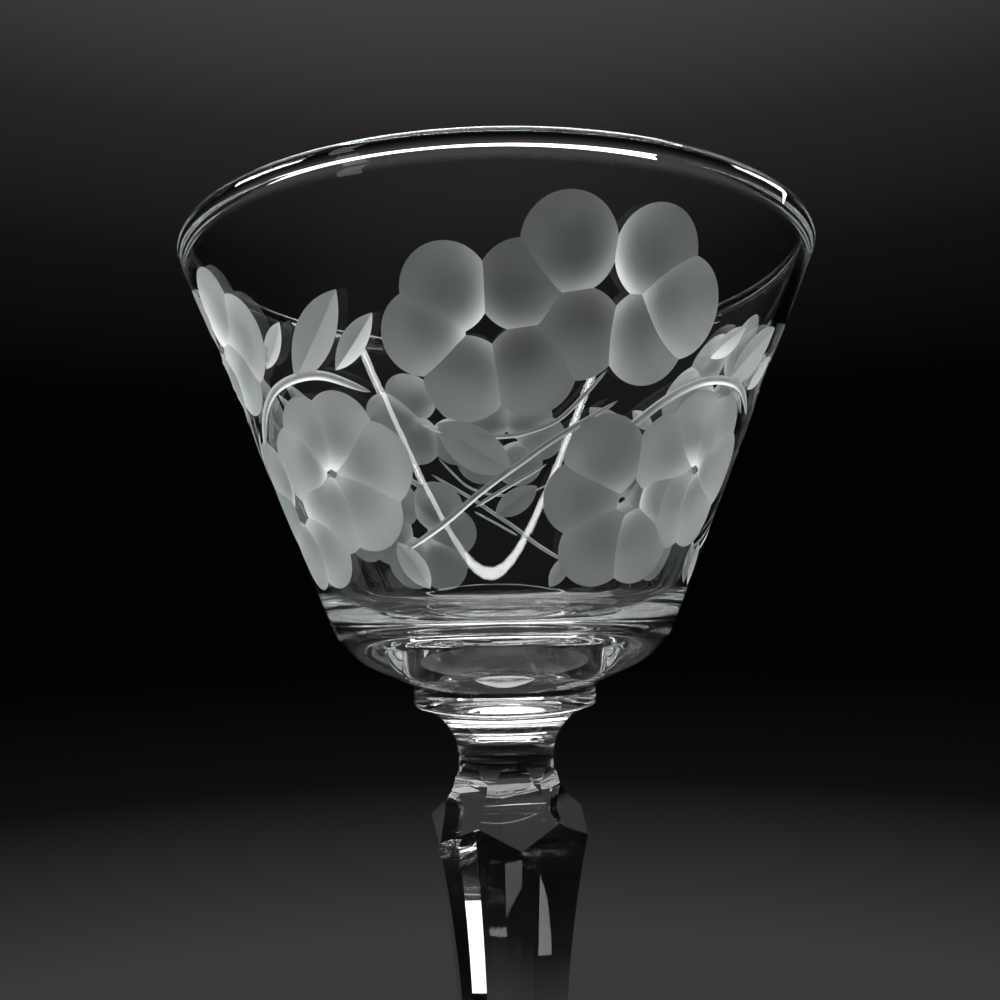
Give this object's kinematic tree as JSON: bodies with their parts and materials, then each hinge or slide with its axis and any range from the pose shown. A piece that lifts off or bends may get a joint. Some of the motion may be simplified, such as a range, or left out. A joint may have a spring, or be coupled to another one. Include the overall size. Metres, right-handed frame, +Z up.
{
  "type": "stemmed cocktail glass",
  "caption": "Clear cocktail glass with a straight-sided conical bowl cut with frosted flowers, a round collar, a six-sided cut stem with a knop and a round foot; holds a short drink.",
  "frame": {"origin": "middle of the foot, on the table that the glass stands on", "axes": "+Z up along the glass's axis; one corner of the six-sided shaft points along -Y"},
  "size_m": [0.08, 0.08, 0.14],
  "materials": {
    "bowl_glass": "clear polished glass with grey, matt wheel-cut flowers, leaves and thin stems on the outside of the wall",
    "stem_glass": "clear polished solid glass, with flat polished facets on the stem"
  },
  "bodies": {
    "root": {"bowl": "bowl_glass", "collar": "stem_glass", "stem": "stem_glass", "foot": "stem_glass"}
  },
  "joints": []
}
